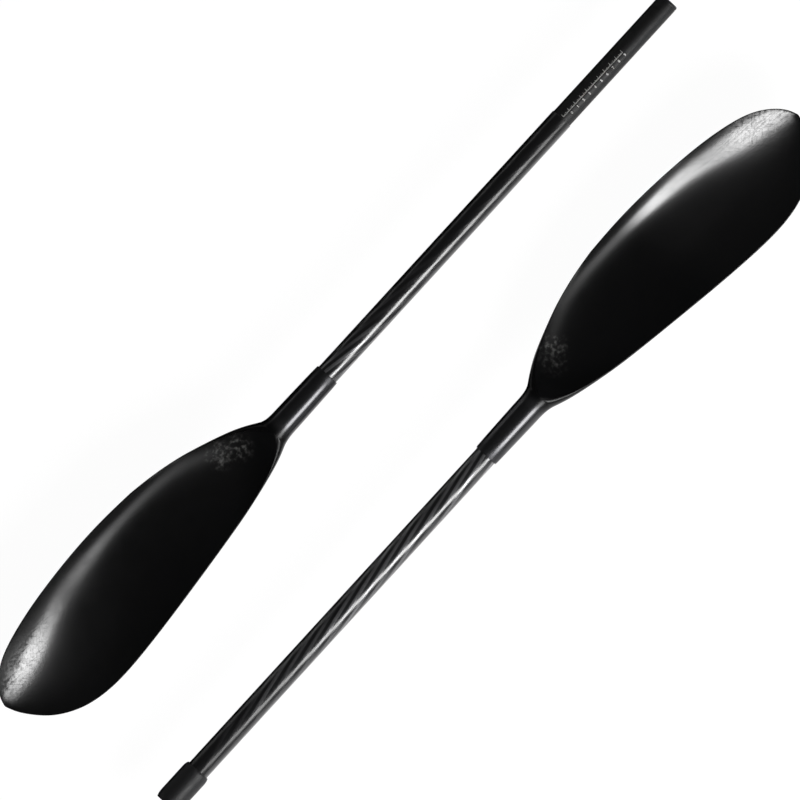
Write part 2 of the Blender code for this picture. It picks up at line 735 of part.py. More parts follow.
def lay_down(half, shell, end_x, end_radius, neck_x, y):
    """Lowers the half onto the floor, where its shell and its joint end carry it.

    The end touches at end_x, where its radius is end_radius. Returns where the shell's points lie.
    """
    roll = Matrix.Rotation(half.roll, 3, "X")
    points = [roll @ vertex.co for vertex in shell.data.vertices]
    slopes = [(p.z + end_radius) / (end_x - half.side * p.x) for p in points]
    pitch = -half.side * math.atan(min(slopes))
    half.empty.rotation_euler = (half.roll, pitch, 0.0)
    turn = Matrix.Rotation(pitch, 3, "Y")
    end = turn @ Vector((half.side * end_x, 0.0, 0.0))
    half.empty.location = (neck_x, y, end_radius - end.z)
    return [turn @ p + Vector((neck_x, y, 0.0)) for p in points]


def make_blade_end(half, side_name, shaft_end):
    """The pieces that both halves share. Returns the back shell."""
    shell = make_back_shell(half, f"{side_name}_back_shell")
    make_face_skin(half, f"{side_name}_face_skin")
    make_foam_core(half, f"{side_name}_foam_core")
    make_shaft(half, f"{side_name}_shaft_tube", shaft_end)
    make_bung(half, f"{side_name}_blade_bung", SHAFT_START + BUNG_CHAMFER, BORE_RADIUS)
    return shell


def make_left_half(half):
    make_insert(half)
    make_bung(half, "insert_bung", INSERT_START + BUNG_CHAMFER, INSERT_BORE)
    return make_blade_end(half, "left", LEFT_SHAFT_END)


def make_right_half(half):
    make_bung(half, "socket_bung", BUNG_FRONT - BUNG_LENGTH, BORE_RADIUS)
    make_threaded_sleeve(half)
    make_collet(half)
    make_seal(half)
    make_collar(half)
    return make_blade_end(half, "right", RIGHT_SHAFT_END)


def centre(halves, spread):
    """Moves both halves so that the middle of the points they spread over is at the origin."""
    for axis in (0, 1):
        low = min(point[axis] for point in spread)
        high = max(point[axis] for point in spread)
        for half in halves:
            half.empty.location[axis] -= (low + high) / 2


def build_paddle():
    clear_scene()
    collections = new_collection("wing_kayak_paddle"), new_collection("cutters")
    sections = blade_sections()
    left = new_half("left_half", 1, LEFT_ROLL, LEFT_SWEEP, collections, sections)
    right = new_half("right_half", -1, RIGHT_ROLL, RIGHT_SWEEP, collections, sections)
    left_shell = make_left_half(left)
    right_shell = make_right_half(right)
    spread = lay_down(left, left_shell, INSERT_END, INSERT_RADIUS, 0.0, 0.0)
    touch = COLLAR_MOUTH - COLLAR_MOUTH_ROUND
    spread += lay_down(right, right_shell, touch, COLLAR_RADIUS, NECK_OFFSET, -SHAFT_SPACING)
    centre((left, right), spread)


build_paddle()
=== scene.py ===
# %% [markdown]
# # A two-piece wing kayak paddle in a plain studio
# The frame already holds every working piece of the paddle at its real size: two scooped blades,
# their carbon shafts, the insert that joins them and the twist lock that grips it. This script
# gives those pieces their looks. It begins by loading the frame.

# %% Load the frame
import json
import math

import bpy
from mathutils import Matrix, Vector

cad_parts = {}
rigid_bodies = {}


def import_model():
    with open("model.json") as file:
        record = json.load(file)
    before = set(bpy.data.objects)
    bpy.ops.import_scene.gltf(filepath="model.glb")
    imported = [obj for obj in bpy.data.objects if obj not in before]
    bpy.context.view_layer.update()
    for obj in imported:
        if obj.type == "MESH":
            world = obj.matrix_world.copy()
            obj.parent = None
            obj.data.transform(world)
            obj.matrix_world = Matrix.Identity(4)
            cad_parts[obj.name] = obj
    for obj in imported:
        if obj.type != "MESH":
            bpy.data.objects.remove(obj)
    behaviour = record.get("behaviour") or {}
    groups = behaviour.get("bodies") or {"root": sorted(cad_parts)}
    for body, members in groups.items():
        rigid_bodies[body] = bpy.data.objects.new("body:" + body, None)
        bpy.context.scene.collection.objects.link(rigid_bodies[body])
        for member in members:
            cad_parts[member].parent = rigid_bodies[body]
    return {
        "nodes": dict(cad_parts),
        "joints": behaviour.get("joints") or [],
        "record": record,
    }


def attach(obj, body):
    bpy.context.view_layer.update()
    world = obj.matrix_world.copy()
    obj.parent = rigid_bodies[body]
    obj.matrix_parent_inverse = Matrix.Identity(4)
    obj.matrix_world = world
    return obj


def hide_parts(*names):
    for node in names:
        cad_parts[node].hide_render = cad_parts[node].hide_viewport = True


MM = 0.001

for leftover in list(bpy.data.objects):
    bpy.data.objects.remove(leftover, do_unlink=True)
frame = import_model()
bpy.context.view_layer.update()
body_of = {
    node: body for body, nodes in frame["record"]["behaviour"]["bodies"].items() for node in nodes
}
slot_of = {part["node"]: part["material_slot"] for part in frame["record"]["subparts"]}

# %% [markdown]
# ## The camera
# Both halves lie flat and the picture looks straight down on them, with no visible perspective:
# the shafts stay parallel and keep their width. A long lens from far away would come close to
# that, and an orthographic camera does exactly that. It is turned so that the shafts climb to the
# upper right, and it is centred on the part of the paddle that shows.

# %% Camera
PICTURE_PIXELS = 800
PICTURE_WIDTH = 0.96
PICTURE_CENTRE = Vector((0.0080, 0.0153, 2.0))
PICTURE_TURN = math.radians(-47.54)

scene = bpy.context.scene
camera_data = bpy.data.cameras.new("camera")
camera_data.type = "ORTHO"
camera_data.ortho_scale = PICTURE_WIDTH
camera = bpy.data.objects.new("camera", camera_data)
camera.location = PICTURE_CENTRE
camera.rotation_euler = (0.0, 0.0, PICTURE_TURN)
scene.collection.objects.link(camera)
scene.camera = camera
scene.view_settings.view_transform = "Standard"
print("One millimetre is", round(PICTURE_PIXELS * MM / PICTURE_WIDTH, 3), "pixels")

# %% [markdown]
# ## Colours and nodes
# Colours are picked in sRGB, as a screen shows them, but a shader works with linear light, so one
# function turns one into the other. A shader tree could be wired by hand, a few lines for each
# node. One general function is shorter and hides nothing: it adds a node of any kind with its
# settings, and fills its inputs from plain values, sockets or other nodes. Most patterns below are
# made of Math nodes and of Map Range nodes that turn a range of values into a smooth step.

# %% Colours and nodes
SMOOTH = {"interpolation_type": "SMOOTHSTEP"}


def linear(colour):
    """The linear colour, with alpha, of an sRGB hex value."""
    channels = [int(colour[i:i + 2], 16) / 255 for i in (1, 3, 5)]
    bent = [c / 12.92 if c <= 0.04045 else ((c + 0.055) / 1.055) ** 2.4 for c in channels]
    return (*bent, 1.0)


def add(tree, kind, inputs=(), **settings):
    """A node whose inputs, in order or by name, are plain values, sockets or other nodes."""
    node = tree.nodes.new("ShaderNode" + kind)
    for name, value in settings.items():
        setattr(node, name, value)
    for key, value in inputs.items() if isinstance(inputs, dict) else enumerate(inputs):
        if isinstance(value, bpy.types.Node):
            value = value.outputs[0]
        if isinstance(value, bpy.types.NodeSocket):
            tree.links.new(value, node.inputs[key])
        else:
            node.inputs[key].default_value = value
    return node


print("Mid grey #808080 is", round(linear("#808080")[0], 3), "in linear light")

# %% [markdown]
# ## The studio
# A product picture of a black, shiny thing is a picture of the lights that it mirrors. Small lamps
# would show as hard dots. One long softbox stands to the lower right of the picture instead and
# leans over the paddle at about 45 degrees. Its middle is much brighter than its ends, which is
# why the shine fades along the shafts and towards one end of each blade. The rest of the room is
# nearly dark, so the carbon stays black.

# %% Softbox and room
SOFTBOX_SIZE = (2.6, 1.3)
SOFTBOX_DISTANCE = 2.8
SOFTBOX_LEAN = math.radians(44.5)
SOFTBOX_GLOW = 17.5
SOFTBOX_FADE = 0.58
SOFTBOX_FADE_POWER = 1.6
SOFTBOX_RIM = (0.36, 0.5)
ROOM_GREY = "#606060"
ROOM_GLOW = 0.4

world = bpy.data.worlds.new("room")
world.use_nodes = True
scene.world = world
backdrop = world.node_tree.nodes["Background"]
backdrop.inputs["Color"].default_value = linear(ROOM_GREY)
backdrop.inputs["Strength"].default_value = ROOM_GLOW

bpy.ops.mesh.primitive_plane_add(size=1.0)
softbox = bpy.context.object
softbox.name = "softbox"
softbox.scale = (*SOFTBOX_SIZE, 1.0)
above = Vector((0.0, -math.sin(SOFTBOX_LEAN), math.cos(SOFTBOX_LEAN)))
softbox.location = above * SOFTBOX_DISTANCE
softbox.rotation_euler = (SOFTBOX_LEAN, 0.0, 0.0)
softbox.visible_camera = False
print("Softbox", SOFTBOX_SIZE, "m, at", [round(c, 2) for c in softbox.location])

# %% [markdown]
# The softbox's cloth glows by an Emission shader. Its strength falls off from the middle of the
# box to both ends along a bell curve, and drops to nothing at the two long rims.

# %% Softbox cloth
glow = bpy.data.materials.new("softbox fabric")
glow.use_nodes = True
tree = glow.node_tree
tree.nodes.clear()
spot = add(tree, "SeparateXYZ", [add(tree, "TexCoord").outputs["Object"]])
along = add(tree, "Math", [spot.outputs["X"]], operation="ABSOLUTE")
across = add(tree, "Math", [spot.outputs["Y"]], operation="ABSOLUTE")
away = add(tree, "Math", [along, SOFTBOX_SIZE[0] / SOFTBOX_FADE], operation="MULTIPLY")
power = add(tree, "Math", [away, SOFTBOX_FADE_POWER], operation="POWER")
loss = add(tree, "Math", [power, -1.0], operation="MULTIPLY")
fall = add(tree, "Math", [loss], operation="EXPONENT")
rim = add(tree, "MapRange", [across, *SOFTBOX_RIM, 1.0, 0.0], **SMOOTH)
share = add(tree, "Math", [fall, rim], operation="MULTIPLY")
strength = add(tree, "Math", [share, SOFTBOX_GLOW], operation="MULTIPLY")
emission = add(tree, "Emission", {"Strength": strength})
add(tree, "OutputMaterial", {"Surface": emission})
softbox.data.materials.append(glow)
print("The softbox's glow is", SOFTBOX_GLOW, "in its middle")

# %% [markdown]
# ## The floor
# The background is pure white. Shining more light on the paddle to whiten the floor would wash out
# the carbon, so the floor shows its own white to the camera, and to whatever mirrors it, and keeps
# only a share of the real shading. That share holds the soft shadow under the paddle. Its paper
# comes first. One more function starts each material: it gives back the material, its tree and its
# shader.

# %% White paper
SHADOW_SHARE = 0.1
PAPER_WHITE = 1.08


def new_material(name, colour, values=()):
    """A material with a plain Principled shader, and its tree and shader to build on."""
    material = bpy.data.materials.new(name)
    material.use_nodes = True
    shader = material.node_tree.nodes["Principled BSDF"]
    shader.inputs["Base Color"].default_value = linear(colour)
    for socket, value in dict(values).items():
        shader.inputs[socket].default_value = value
    return material, material.node_tree, shader


paper, tree, shader = new_material(
    "white paper roll", "#F4F4F4", {"Roughness": 0.9, "Specular IOR Level": 0.0})
rays = add(tree, "LightPath").outputs
seen = add(tree, "Math", [rays["Is Camera Ray"], rays["Is Glossy Ray"]], operation="ADD")
either = add(tree, "Math", [seen, rays["Is Transmission Ray"]], operation="ADD")
share = add(tree, "Math", [either, 1.0 - SHADOW_SHARE], operation="MULTIPLY", use_clamp=True)
white = add(tree, "Emission", {"Strength": PAPER_WHITE})
mix = add(tree, "MixShader", [share, shader, white])
tree.links.new(mix.outputs[0], tree.nodes["Material Output"].inputs["Surface"])
print("The paper keeps", SHADOW_SHARE, "of its real shading")

# %% [markdown]
# The floor hangs a hand's width below the paddle. Right under it, it would hide part of a blade,
# because a half that is turned on its shaft brings one edge of its blade down. A round wall of the
# same paper stands far away, so that the background is white from the side too. It is low, because
# a high one would be mirrored in the carbon and turn it grey.

# %% Floor and wall
FLOOR_SIZE = 30.0
FLOOR_DEPTH = 60 * MM
WALL_RADIUS = 14.0
WALL_TOP = 1.6
WALL_FOOT = -14.0

bpy.ops.mesh.primitive_plane_add(size=FLOOR_SIZE, location=(0.0, 0.0, -FLOOR_DEPTH))
floor = bpy.context.object
floor.name = "floor"
floor.data.materials.append(paper)

bpy.ops.mesh.primitive_cylinder_add(
    vertices=96, radius=WALL_RADIUS, depth=WALL_TOP - WALL_FOOT, end_fill_type="NOTHING",
    location=(0.0, 0.0, (WALL_TOP + WALL_FOOT) / 2))
wall = bpy.context.object
wall.name = "wall"
bpy.ops.object.shade_smooth()
wall.data.materials.append(paper)
print("Floor", FLOOR_SIZE, "m wide and", FLOOR_DEPTH, "m down, wall", WALL_TOP, "m high")

# %% [markdown]
# ## Black cards
# A round black tube on white paper mirrors the paper along both its flanks. The picture shows that
# grey rim on the lower right flanks only, so black cards lie under the paddle along the upper left
# ones. Darkening the floor itself would show. Only glossy rays can see the cards: they darken a
# reflection and leave the white background alone. They end before the places where the right blade
# swings down, so that it never cuts through one. Each card's numbers are where it starts and ends
# along X, and then along Y, in metres.

# %% Black cards
CARD_DEPTH = 0.15 * MM
CARDS = {
    "card by the right half": (-1.5, 0.13, -0.105, 0.02),
    "card by the left half": (-1.5, 0.7, 0.1, 2.5),
}

card_black = new_material("black card", "#1C1C1C", {"Roughness": 1.0, "Specular IOR Level": 0.0})[0]
# The cards are painted shade: glossy rays alone see them, so they darken the white paper that the
# upper left flanks would mirror.
for name, (start, end, near, far) in CARDS.items():
    bpy.ops.mesh.primitive_plane_add(size=1.0)
    card = bpy.context.object
    card.name = name
    card.scale = (end - start, far - near, 1.0)
    card.location = ((start + end) / 2, (near + far) / 2, -CARD_DEPTH)
    card.visible_camera = False
    card.visible_diffuse = False
    card.visible_transmission = False
    card.visible_shadow = False
    card.data.materials.append(card_black)
    print(name, "covers x from", start, "to", end, "and y from", near, "to", far)

# %% [markdown]
# ## Smooth blade surfaces
# A wing blade is a thin moulded shell whose curves have no corners, but the frame's blades are
# made of flat triangles. They could be lofted again from sections. It is simpler, and exact, to
# copy each one, merge its points, turn its triangles back into the quads they came from, and let a
# Subdivision Surface modifier round them. Edges that are sharp on the real blade get a crease
# first, so they stay sharp.

# %% A smooth copy of a frame piece
MERGE_DISTANCE = 0.002 * MM
CREASE_ANGLE = math.radians(45)
BLADE_LEVELS = 2


def only(piece):
    """Selects one object and makes it active."""
    bpy.ops.object.select_all(action="DESELECT")
    piece.select_set(True)
    bpy.context.view_layer.objects.active = piece


def apply_modifiers(piece):
    """Turns what the modifiers of an object make into its mesh."""
    only(piece)
    for modifier in list(piece.modifiers):
        bpy.ops.object.modifier_apply(modifier=modifier.name)


def smooth_copy(node, name):
    """A copy of a frame node, as quads, rounded by subdivision, in the node's place."""
    piece = bpy.data.objects.new(name, frame["nodes"][node].data.copy())
    scene.collection.objects.link(piece)
    piece.data.materials.clear()
    only(piece)
    bpy.ops.mesh.customdata_custom_splitnormals_clear()
    bpy.ops.object.mode_set(mode="EDIT")
    bpy.ops.mesh.select_all(action="SELECT")
    bpy.ops.mesh.remove_doubles(threshold=MERGE_DISTANCE)
    bpy.ops.mesh.tris_convert_to_quads(
        face_threshold=math.pi, shape_threshold=math.pi, topology_influence=2.0)
    bpy.ops.mesh.select_all(action="DESELECT")
    bpy.ops.mesh.edges_select_sharp(sharpness=CREASE_ANGLE)
    bpy.ops.transform.edge_crease(value=1.0)
    bpy.ops.object.mode_set(mode="OBJECT")
    rounding = piece.modifiers.new("Rounding", "SUBSURF")
    rounding.levels = BLADE_LEVELS
    rounding.render_levels = BLADE_LEVELS
    apply_modifiers(piece)
    bpy.ops.object.shade_smooth_by_angle(angle=CREASE_ANGLE)
    return piece


sides = ("left", "right")
faces = {side: smooth_copy(f"{side}_face_skin", f"{side}_blade_face") for side in sides}
backs = {side: smooth_copy(f"{side}_back_shell", f"{side}_blade_back") for side in sides}
for piece in [*faces.values(), *backs.values()]:
    print(piece.name, "has", len(piece.data.polygons), "faces")

# %% [markdown]
# ## Blade laminate
# The blades are carbon and epoxy, moulded under pressure against a polished mould. That leaves a
# satin black skin with a soft shine. The shine is broad and dim on the near half of each blade and
# tight and bright towards its tip, where sand and water have polished it. One roughness can't give
# both, so a weak satin shader lies below and a coat stands for the polish: its weight says where
# the skin is polished. All of it follows the place on the paddle, which is why both blades can
# share one material. It starts with that place, and with how far out along X it is.

# %% Blade material
laminate, tree, shader = new_material(
    "carbon and epoxy laminate, pressure moulded, satin", "#0C0C0D",
    {"Specular IOR Level": 0.22, "Coat Roughness": 0.19, "Coat IOR": 1.6})
place = add(tree, "TexCoord").outputs["Object"]
spot = add(tree, "SeparateXYZ", [place])
out = add(tree, "Math", [spot.outputs["X"]], operation="ABSOLUTE")
print("The blades are made of", laminate.name)

# %% [markdown]
# Sand leaves hairlines on the tips, which show only inside the shine. They could be drawn one by
# one, but a noise that is stretched into long thin cells and cut off near its peaks gives as many
# as it takes. One set runs along the blade and two sets of short ones cross it. A real hairline
# is a few hundredths of a millimetre wide and wouldn't show from this far, so they are drawn as
# coarse as they need to be, with one every 1.2 mm across the set. Each set is a turn in degrees
# and its number of cells in a metre lengthwise: 22 are 45 mm long each, and 80 are 12 mm long.

# %% Hairline scratches
SCRATCH_SETS = ((7.0, 22.0), (-42.0, 80.0), (48.0, 80.0))
SCRATCHES_ACROSS = 850.0
SCRATCHES_DOWN = 60.0
SCRATCH_PEAK = (0.56, 0.70)
SCRATCHED_FROM = (0.34, 0.47)
SCRATCHED_NEARER = 0.1

scratch = None
for turn, lengthwise in SCRATCH_SETS:
    turned_place = add(tree, "Mapping", {"Vector": place, "Rotation": (0, 0, math.radians(turn))})
    cells = (lengthwise, SCRATCHES_ACROSS, SCRATCHES_DOWN)
    stretched = add(tree, "VectorMath", [turned_place, cells], operation="MULTIPLY")
    noise = add(tree, "TexNoise", {"Vector": stretched, "Scale": 1.0, "Detail": 3.0})
    lines = add(tree, "MapRange", [noise, *SCRATCH_PEAK], **SMOOTH)
    scratch = add(tree, "Math", [scratch, lines], operation="MAXIMUM") if scratch else lines
reach = add(tree, "MapRange", [out, *SCRATCHED_FROM, SCRATCHED_NEARER, 1.0], **SMOOTH)
scratch = add(tree, "Math", [scratch, reach], operation="MULTIPLY")
print(len(SCRATCH_SETS), "sets of scratches, full from", SCRATCHED_FROM[1], "m out")

# %% [markdown]
# The skin is scuffed near the necks, where hands hold it, and rubbed at the very tips, which touch
# the bottom. Both are patches of fine noise: cells of 3 to 5 mm that break up into ever smaller
# ones. A scuff is a round patch with a place and a strength, and the rubbed tips start at a
# distance from the middle.

# %% Scuffs and rubbed tips
SCUFFS = (
    (0.178, -0.078, 0.5),
    (0.166, -0.088, 0.3),
    (-0.186, 0.130, 0.6),
    (-0.164, 0.121, 0.65),
)
SCUFF_HEIGHT = 0.02
SCUFF_REACH = 0.024
SCUFF_CORE = 0.2
SCUFF_CELLS = 190.0
SCUFF_PEAK = (0.44, 0.78)
RUBBED_FROM = (0.42, 0.585)
RUBBED_CELLS = 170.0
RUBBED_STRETCH = (1.2, 1.8, 1.0)
RUBBED_PEAK = (0.44, 0.64)

held = None
for x, y, amount in SCUFFS:
    gap = add(tree, "VectorMath", [place, (x, y, SCUFF_HEIGHT)], operation="DISTANCE")
    limits = (SCUFF_REACH * SCUFF_CORE, SCUFF_REACH)
    patch = add(tree, "MapRange", [gap.outputs["Value"], *limits, amount, 0.0], **SMOOTH)
    held = add(tree, "Math", [held, patch], operation="MAXIMUM") if held else patch
noise = add(tree, "TexNoise", {"Vector": place, "Scale": SCUFF_CELLS, "Detail": 9.0})
speckle = add(tree, "MapRange", [noise, *SCUFF_PEAK], **SMOOTH)
scuffs = add(tree, "Math", [held, speckle], operation="MULTIPLY")

tip = add(tree, "MapRange", [out, *RUBBED_FROM], **SMOOTH)
stretched = add(tree, "VectorMath", [place, RUBBED_STRETCH], operation="MULTIPLY")
noise = add(tree, "TexNoise", {"Vector": stretched, "Scale": RUBBED_CELLS, "Detail": 8.0})
speckle = add(tree, "MapRange", [noise, *RUBBED_PEAK], **SMOOTH)
rubbed = add(tree, "Math", [tip, speckle], operation="MULTIPLY")
wear = add(tree, "Math", [scuffs, rubbed], operation="MAXIMUM")
print(len(SCUFFS), "scuffs, each", round(2 * SCUFF_REACH / MM), "mm across")

# %% [markdown]
# The polish itself is full on the tips, none on the near halves and some on the necks. Towards the
# upper rim of a tip it is worn off again, along a line that slants across the blade, and it is
# thin on the side of the blade away from the light. The scratches and the wear take their share.
# It could be painted by hand, but sums and smooth steps of the distance out, and of the distance
# up from each half's shaft line, can be read and changed later.

# %% Polish
NECK_MOUTH = (0.032, 0.055)
NECK_END = (0.103, 0.122)
NECK_POLISH = 0.35
POLISHED = {"left": (-0.52, -0.43), "right": (0.40, 0.325)}
SHAFT_LINES = {"left": 0.1002, "right": -0.1058}
SLANT_MIDDLE = 0.48
SLANT_RISE = 0.0432
SLANT = -0.29
RIM_WORN = (0.005, 0.017)
RIM_WORN_FROM = (0.40, 0.47)
RIM_WEAR = 0.85
LOW_SIDE = (-0.03, 0.005)
LOW_SIDE_LOSS = 0.6
WORN_LOSS = 0.36

neck = add(tree, "MapRange", [out, *NECK_END, 1.0, 0.0], **SMOOTH)
sleeve = add(tree, "MapRange", [out, *NECK_MOUTH, 0.0, NECK_POLISH], **SMOOTH)
polish = add(tree, "Math", [neck, sleeve], operation="MULTIPLY")
for polished, satin in POLISHED.values():
    limits = sorted((polished, satin))
    share = add(tree, "MapRange", [spot.outputs["X"], *limits], **SMOOTH)
    if polished < satin:
        share = add(tree, "Math", [1.0, share], operation="SUBTRACT")
    polish = add(tree, "Math", [polish, share], operation="MAXIMUM")

on_left = add(tree, "Math", [spot.outputs["X"], 0.0], operation="LESS_THAN")
apart = SHAFT_LINES["left"] - SHAFT_LINES["right"]
shaft_line = add(tree, "Math", [on_left, apart], operation="MULTIPLY")
shaft_line = add(tree, "Math", [shaft_line, SHAFT_LINES["right"]], operation="ADD")
up = add(tree, "Math", [spot.outputs["Y"], shaft_line], operation="SUBTRACT")
slant = add(tree, "Math", [out, SLANT_MIDDLE], operation="SUBTRACT")
slant = add(tree, "Math", [slant, SLANT], operation="MULTIPLY")
slant = add(tree, "Math", [slant, SLANT_RISE], operation="ADD")
past = add(tree, "Math", [up, slant], operation="SUBTRACT")
by_rim = add(tree, "MapRange", [past, *RIM_WORN], **SMOOTH)
by_tip = add(tree, "MapRange", [out, *RIM_WORN_FROM, 0.0, RIM_WEAR], **SMOOTH)
rim_wear = add(tree, "Math", [by_rim, by_tip], operation="MULTIPLY")
low_side = add(tree, "MapRange", [up, *LOW_SIDE, LOW_SIDE_LOSS, 0.0], **SMOOTH)

losses = [add(tree, "Math", [mark, WORN_LOSS], operation="MULTIPLY") for mark in (wear, scratch)]
kept = add(tree, "Math", [1.0, losses[0]], operation="SUBTRACT")
kept = add(tree, "Math", [kept, losses[1]], operation="SUBTRACT")
loss = add(tree, "Math", [rim_wear, low_side], operation="MAXIMUM")
kept = add(tree, "Math", [kept, loss], operation="SUBTRACT", use_clamp=True)
coat = add(tree, "Math", [polish, kept], operation="MULTIPLY")
tree.links.new(coat.outputs[0], shader.inputs["Coat Weight"])
print("The polish starts at", {side: reach[1] for side, reach in POLISHED.items()}, "m along X")

# %% [markdown]
# Below the coat the skin is a little rougher at the mouths of the necks, in the scratches and
# where it is worn, and it varies a little over patches of about 18 mm, as resin does. It is black,
# greyer where it is scuffed. The necks were sanded to fit the shaft, which bared the fibres, and
# bare carbon fibre has a broad grey sheen almost like a metal's. Noise seldom leaves the range
# from 0.3 to 0.7, so that range is what a Map Range node spreads out.

# %% Roughness and colour of the skin
MIDDLE_NOISE = (0.3, 0.7)
SATIN_ROUGHNESS = 0.29
MOUTH_ROUGHER = 0.12
WORN_ROUGHER = 0.10
RESIN_CELLS = 55.0
RESIN_ROUGHNESS = (-0.015, 0.02)
SCUFF_GREY = 0.8
BARE_METALLIC = 0.85

limits = (SATIN_ROUGHNESS + MOUTH_ROUGHER, SATIN_ROUGHNESS)
rough = add(tree, "MapRange", [out, *NECK_MOUTH, *limits], **SMOOTH)
for mark in (wear, scratch):
    more = add(tree, "Math", [mark, WORN_ROUGHER], operation="MULTIPLY")
    rough = add(tree, "Math", [rough, more], operation="ADD")
noise = add(tree, "TexNoise", {"Vector": place, "Scale": RESIN_CELLS, "Detail": 4.0})
resin = add(tree, "MapRange", [noise, *MIDDLE_NOISE, *RESIN_ROUGHNESS], **SMOOTH)
rough = add(tree, "Math", [rough, resin], operation="ADD")
tree.links.new(rough.outputs[0], shader.inputs["Roughness"])

greyed = add(tree, "Math", [scuffs, SCUFF_GREY], operation="MULTIPLY")
worn = add(tree, "Mix", {0: greyed, "A": linear("#0B0B0C"), "B": linear("#8A8A88")},
           data_type="RGBA")
bared = add(tree, "Mix", {0: neck, "A": worn.outputs["Result"], "B": linear("#424244")},
            data_type="RGBA")
tree.links.new(bared.outputs["Result"], shader.inputs["Base Color"])
metallic = add(tree, "Math", [neck, BARE_METALLIC], operation="MULTIPLY")
tree.links.new(metallic.outputs[0], shader.inputs["Metallic"])
print("Roughness of the skin", SATIN_ROUGHNESS, "and of the bare mouths", round(limits[0], 2))

# %% [markdown]
# The relief is very shallow. The scratches cut in, the resin stands up in a slight orange peel,
# waves of 4 to 8 mm that flow along the blade, and the worn patches have a grain of 1.6 mm. At
# 0.04 mm none of it changes the outline, so a Bump node is enough. With that the material is
# ready, and both blades take it.

# %% Relief of the skin, and the dressed blades
PEEL_CELLS = 240.0
PEEL_STRETCH = (0.5, 1.0, 1.0)
PEEL_SHARE = 0.2
SCRATCH_SHARE = 0.9
WORN_CELLS = 620.0
SKIN_RELIEF = 0.04 * MM


def stand_in(piece, node, material):
    """Puts a modelled piece in a frame node's place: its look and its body."""
    piece.data.materials.append(material)
    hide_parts(node)
    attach(piece, body_of[node])


stretched = add(tree, "VectorMath", [place, PEEL_STRETCH], operation="MULTIPLY")
noise = add(tree, "TexNoise", {"Vector": stretched, "Scale": PEEL_CELLS, "Detail": 2.0})
peel = add(tree, "Math", [noise, PEEL_SHARE], operation="MULTIPLY")
cut = add(tree, "Math", [scratch, SCRATCH_SHARE], operation="MULTIPLY")
relief = add(tree, "Math", [peel, cut], operation="SUBTRACT")
noise = add(tree, "TexNoise", {"Vector": place, "Scale": WORN_CELLS, "Detail": 4.0})
bumps = add(tree, "Math", [wear, noise], operation="MULTIPLY")
relief = add(tree, "Math", [relief, bumps], operation="ADD")
bump = add(tree, "Bump", {"Height": relief, "Strength": 0.40, "Distance": SKIN_RELIEF})
tree.links.new(bump.outputs[0], shader.inputs["Normal"])
tree.links.new(bump.outputs[0], shader.inputs["Coat Normal"])

for side in sides:
    stand_in(faces[side], f"{side}_face_skin", laminate)
    stand_in(backs[side], f"{side}_back_shell", laminate)
print("The blade material has", len(tree.nodes), "nodes")

# %% [markdown]
# ## Places along the shafts
# Shafts, insert and collar all lie along their own half's shaft, which slopes a little, because a
# half rests on the belly of its blade and on its far end. The record holds a point and a direction
# on each shaft line, so each half gets a place: a matrix whose X axis is that line. The frame's
# own pieces are measured in it, so that every new one gets their size.

# %% Places along the shafts
def shaft_place(point, axis):
    """The matrix that carries the X axis onto a shaft line."""
    x = Vector(axis).normalized()
    y = Vector((0.0, 1.0, 0.0))
    place = Matrix((x, y, x.cross(y))).transposed().to_4x4()
    place.translation = Vector(point)
    return place


def measured(node, side):
    """Where a frame node starts and ends along its shaft line, and its outer and bore radius."""
    into = places[side].inverted() @ frame["nodes"][node].matrix_world
    points = [into @ vertex.co for vertex in frame["nodes"][node].data.vertices]
    radii = [math.hypot(point.y, point.z) for point in points]
    along = [point.x for point in points]
    return min(along), max(along), max(radii), min(radii)


mounts = {mount["name"]: mount for mount in frame["record"]["mounts"]}
joints = {joint["name"]: joint for joint in frame["joints"]}
places = {
    "left": shaft_place(mounts["insert_end"]["pos_m"], mounts["insert_end"]["axis"]),
    "right": shaft_place(joints["feather"]["pos_m"], joints["feather"]["axis"]),
}
for side in sides:
    slope = math.degrees(places[side].to_euler().y)
    print("The", side, "shaft line slopes", round(slope, 2), "degrees")

# %% [markdown]
# ## Turned pieces
# A cylinder with a bevel would do for a plain tube, but a cap or a collar has steps and soft
# rounds. So each round piece is drawn as a loop of (distance, radius) points, as for a lathe,
# which an edit-mode spin carries round the X axis. Then it is put in place. Rounds are quarter
# ellipses, added to the loop point by point.

# %% Turned pieces
TURN_STEPS = 128
SMOOTH_ANGLE = math.radians(30)
EDGE_STEPS = 4


def turned(name, side, profile):
    """A solid spun from (distance, radius) points. A loop off the axis is closed."""
    bpy.ops.mesh.primitive_plane_add(size=1.0)
    piece = bpy.context.object
    piece.name = name
    bpy.ops.object.mode_set(mode="EDIT")
    bpy.ops.mesh.select_all(action="SELECT")
    bpy.ops.mesh.merge(type="CENTER")
    points = [Vector((x, 0.0, radius)) for x, radius in profile]
    bpy.ops.transform.translate(value=points[0])
    if profile[0][1] > 0:
        points.append(points[0])
    for before, after in zip(points, points[1:]):
        bpy.ops.mesh.extrude_vertices_move(TRANSFORM_OT_translate={"value": after - before})
    bpy.ops.mesh.select_all(action="SELECT")
    bpy.ops.mesh.remove_doubles(threshold=MERGE_DISTANCE)
    bpy.ops.mesh.spin(
        steps=TURN_STEPS, angle=math.tau, center=(0.0, 0.0, 0.0), axis=(1.0, 0.0, 0.0))
    bpy.ops.mesh.select_all(action="SELECT")
    bpy.ops.mesh.remove_doubles(threshold=MERGE_DISTANCE)
    bpy.ops.mesh.normals_make_consistent(inside=False)
    bpy.ops.object.mode_set(mode="OBJECT")
    piece.data.transform(places[side])
    bpy.ops.object.shade_smooth_by_angle(angle=SMOOTH_ANGLE)
    return piece


